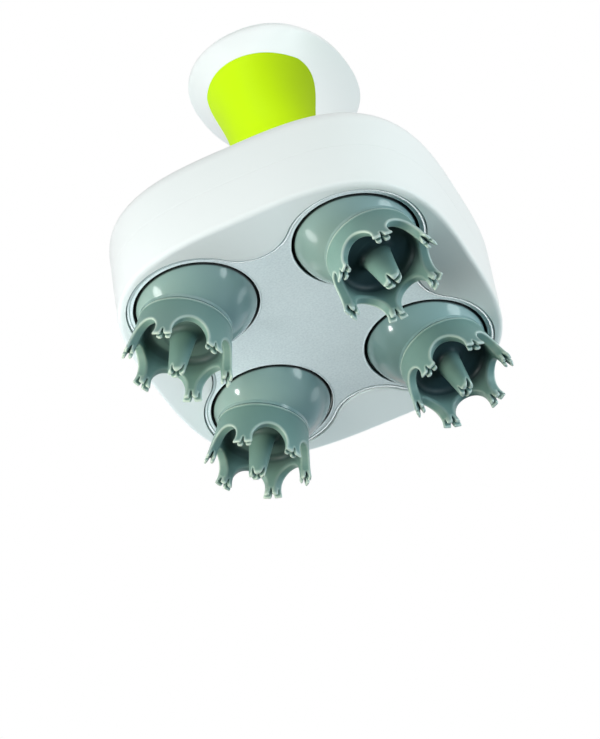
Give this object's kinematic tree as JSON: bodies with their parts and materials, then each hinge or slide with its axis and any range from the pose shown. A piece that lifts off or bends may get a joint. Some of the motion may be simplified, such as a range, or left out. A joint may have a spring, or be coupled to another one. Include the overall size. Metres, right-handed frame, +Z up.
{
  "type": "electric scalp massager",
  "caption": "Hand-held electric scalp massager: a rounded square body on turning claw heads, under a mushroom handle with a lime grip.",
  "frame": {"origin": "middle of the body on the plane that the lowest finger tips stand on", "axes": "+Z up along the handle, -Y towards the lime grip (the front), +X to the right seen from the front"},
  "size_m": [0.1116, 0.1116, 0.1536],
  "materials": {
    "shell_white": "satin white",
    "plate_grey": "fine-grained pale grey",
    "lime_grip": "satin lime green",
    "bell_sage": "gloss sage grey",
    "claw_silicone": "matte sage silicone",
    "gear_nylon": "natural nylon",
    "frame_plastic": "dark grey",
    "steel": "bright",
    "brass": "machined",
    "seal_rubber": "black",
    "board": "solder mask green",
    "cell_wrap": "blue shrink wrap",
    "light_lens": "milky"
  },
  "bodies": {
    "casing": {"lower_housing": "shell_white", "face_plate": "plate_grey", "body_gasket": "seal_rubber", "upper_housing": "shell_white", "handle_shell": "shell_white", "front_grip": "lime_grip", "gearbox_base_plate": "frame_plastic", "gearbox_top_plate": "frame_plastic", "shaft_bush_back_right": "brass", "shaft_bush_back_left": "brass", "shaft_bush_front_left": "brass", "shaft_bush_front_right": "brass", "shaft_seal_back_right": "seal_rubber", "shaft_seal_back_left": "seal_rubber", "shaft_seal_front_left": "seal_rubber", "shaft_seal_front_right": "seal_rubber", "gear_axle_right": "steel", "gear_axle_left": "steel", "motor_gearhead": "steel", "motor_can": "steel", "battery_cradle": "frame_plastic", "battery_cell": "cell_wrap", "housing_screw_right": "steel", "housing_screw_back": "steel", "housing_screw_left": "steel", "housing_screw_front": "steel", "handle_screw_back_right": "steel", "handle_screw_back_left": "steel", "handle_screw_front_left": "steel", "handle_screw_front_right": "steel", "motor_screw_back": "steel", "motor_screw_front": "steel", "top_cover": "shell_white", "light_ring": "light_lens", "tact_switch": "frame_plastic", "control_board": "board", "board_screw_back": "steel", "board_screw_front": "steel", "charging_socket": "frame_plastic"},
    "head_front_right": {"bell_front_right": "bell_sage", "claw_front_right": "claw_silicone", "head_shaft_front_right": "steel", "head_gear_front_right": "gear_nylon"},
    "head_front_left": {"bell_front_left": "bell_sage", "claw_front_left": "claw_silicone", "head_shaft_front_left": "steel", "head_gear_front_left": "gear_nylon"},
    "head_back_left": {"bell_back_left": "bell_sage", "claw_back_left": "claw_silicone", "head_shaft_back_left": "steel", "head_gear_back_left": "gear_nylon"},
    "head_back_right": {"bell_back_right": "bell_sage", "claw_back_right": "claw_silicone", "head_shaft_back_right": "steel", "head_gear_back_right": "gear_nylon"},
    "left_gear": {"left_centre_gear": "gear_nylon"},
    "right_gear": {"right_centre_gear": "gear_nylon"},
    "pinion": {"drive_pinion": "brass"},
    "button": {"power_button": "shell_white", "switch_plunger": "seal_rubber"}
  },
  "joints": [
    {"name": "front_right_head_turn", "type": "hinge", "parent": "casing", "child": "head_front_right", "pos_m": [0.0275, -0.0275, 0.036], "axis": [0, 0, 1], "continuous": true},
    {"name": "front_left_head_turn", "type": "hinge", "parent": "casing", "child": "head_front_left", "pos_m": [-0.0275, -0.0275, 0.036], "axis": [0, 0, 1], "continuous": true},
    {"name": "back_left_head_turn", "type": "hinge", "parent": "casing", "child": "head_back_left", "pos_m": [-0.0275, 0.0275, 0.036], "axis": [0, 0, 1], "continuous": true},
    {"name": "back_right_head_turn", "type": "hinge", "parent": "casing", "child": "head_back_right", "pos_m": [0.0275, 0.0275, 0.036], "axis": [0, 0, 1], "continuous": true},
    {"name": "left_gear_turn", "type": "hinge", "parent": "casing", "child": "left_gear", "pos_m": [-0.01425, 0, 0.036], "axis": [0, 0, 1], "continuous": true},
    {"name": "right_gear_turn", "type": "hinge", "parent": "casing", "child": "right_gear", "pos_m": [0.01425, 0, 0.036], "axis": [0, 0, 1], "continuous": true},
    {"name": "pinion_turn", "type": "hinge", "parent": "casing", "child": "pinion", "pos_m": [0, 0, 0.036], "axis": [0, 0, 1], "continuous": true},
    {"name": "power_button_press", "type": "slide", "parent": "casing", "child": "button", "axis": [0, 0.1908, -0.9816], "range_m": [0, 0.0008], "stiffness_N_per_m": 1500, "springref_m": -0.0004}
  ],
  "couplings": [
    {"joint": "back_left_head_turn", "follows": "front_left_head_turn", "ratio": 1},
    {"joint": "front_right_head_turn", "follows": "front_left_head_turn", "ratio": -1},
    {"joint": "back_right_head_turn", "follows": "front_left_head_turn", "ratio": -1},
    {"joint": "left_gear_turn", "follows": "front_left_head_turn", "ratio": -1.1429},
    {"joint": "right_gear_turn", "follows": "front_left_head_turn", "ratio": 1.1429},
    {"joint": "pinion_turn", "follows": "front_left_head_turn", "ratio": -2.7429}
  ]
}
